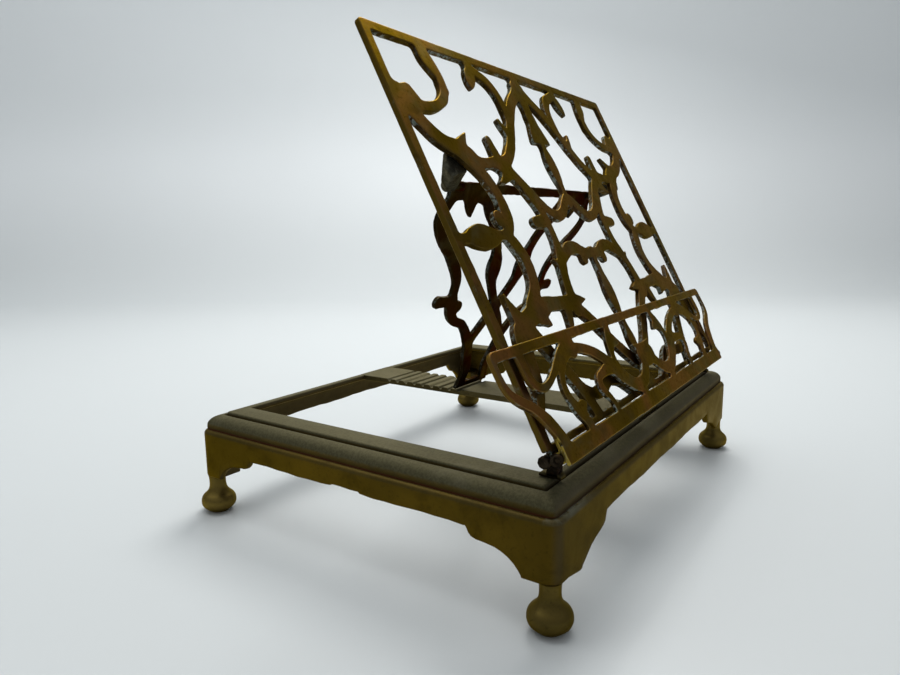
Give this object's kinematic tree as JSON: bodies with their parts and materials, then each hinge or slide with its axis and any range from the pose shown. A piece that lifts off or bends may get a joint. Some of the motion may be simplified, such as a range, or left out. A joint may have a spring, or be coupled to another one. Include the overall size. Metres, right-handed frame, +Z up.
{
  "type": "book display stand",
  "caption": "Pierced scrollwork book stand: tilting plate with folding ledge, propped on a ridged rack across a moulded footed base.",
  "frame": {"origin": "centre of the footprint, on the surface the feet stand on", "axes": "+X to the reader's right, +Y away from the reader, +Z up"},
  "size_m": [0.2734, 0.2142, 0.2315],
  "materials": {
    "base_brass": "aged, dull olive brown with dark hollows",
    "foot_brass": "worn golden brown",
    "plate_brass": "aged golden brown with coppery patches and pale green-grey bloom in the piercings",
    "prop_brass": "very dark brown patina",
    "lug_metal": "rough silvery grey casting",
    "dark_iron": "dark grey, slightly rusty"
  },
  "bodies": {
    "base": {"base_frame": "base_brass", "rack_bar": "base_brass", "rack_screw_front": "dark_iron", "rack_screw_rear": "dark_iron", "foot_front_left": "foot_brass", "foot_front_right": "foot_brass", "foot_rear_left": "foot_brass", "foot_rear_right": "foot_brass", "hinge_lug_left": "base_brass", "hinge_lug_right": "base_brass", "lug_screw_left": "dark_iron", "lug_screw_right": "dark_iron"},
    "plate": {"reading_plate": "plate_brass", "plate_hinge_pin_left": "dark_iron", "plate_hinge_pin_right": "dark_iron", "prop_lug_left": "lug_metal", "prop_lug_right": "lug_metal", "prop_pin_left": "dark_iron", "prop_pin_right": "dark_iron"},
    "ledge": {"book_ledge": "plate_brass", "ledge_hinge_pin_left": "dark_iron", "ledge_hinge_pin_right": "dark_iron"},
    "prop": {"easel_prop": "prop_brass"}
  },
  "joints": [
    {"name": "plate_tilt", "type": "hinge", "parent": "base", "child": "plate", "pos_m": [0, -0.093, 0.063], "axis": [1, 0, 0], "range_deg": [-58.5, 20]},
    {"name": "ledge_fold", "type": "hinge", "parent": "plate", "child": "ledge", "pos_m": [0, -0.0982, 0.0648], "axis": [1, 0, 0], "range_deg": [0, 75]},
    {"name": "prop_fold", "type": "hinge", "parent": "plate", "child": "prop", "pos_m": [0, -0.025, 0.167], "axis": [1, 0, 0], "range_deg": [-48.2, 140.6]}
  ],
  "couplings": [
    {"joint": "prop_fold", "follows": "plate_tilt", "ratio": -2.4}
  ]
}
